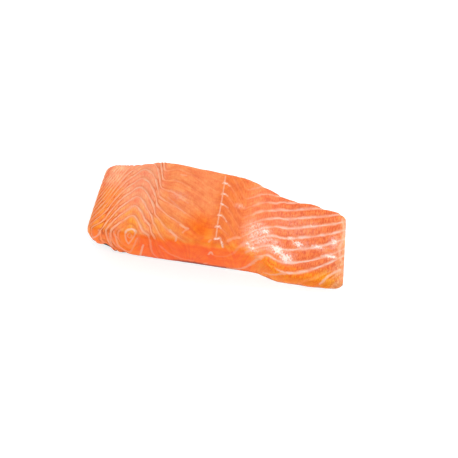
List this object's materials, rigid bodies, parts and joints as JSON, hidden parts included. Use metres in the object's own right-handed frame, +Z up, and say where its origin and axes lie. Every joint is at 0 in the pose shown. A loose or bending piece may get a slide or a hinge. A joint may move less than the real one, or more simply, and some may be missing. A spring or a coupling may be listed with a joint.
{
  "type": "raw salmon loin portion",
  "caption": "Raw salmon loin portion cut across a fillet, thick at the dorsal side and thin at the belly, lying skin side down.",
  "frame": {"origin": "middle of the portion's box, on the surface that the skin side rests on", "axes": "+X from the dorsal edge to the belly edge, +Y along the fish from the front cut to the back cut, +Z up out of the flesh side"},
  "size_m": [0.1595, 0.0563, 0.0335],
  "materials": {
    "salmon_flesh": "moist"
  },
  "bodies": {
    "root": {"salmon_loin": "salmon_flesh"}
  },
  "joints": []
}
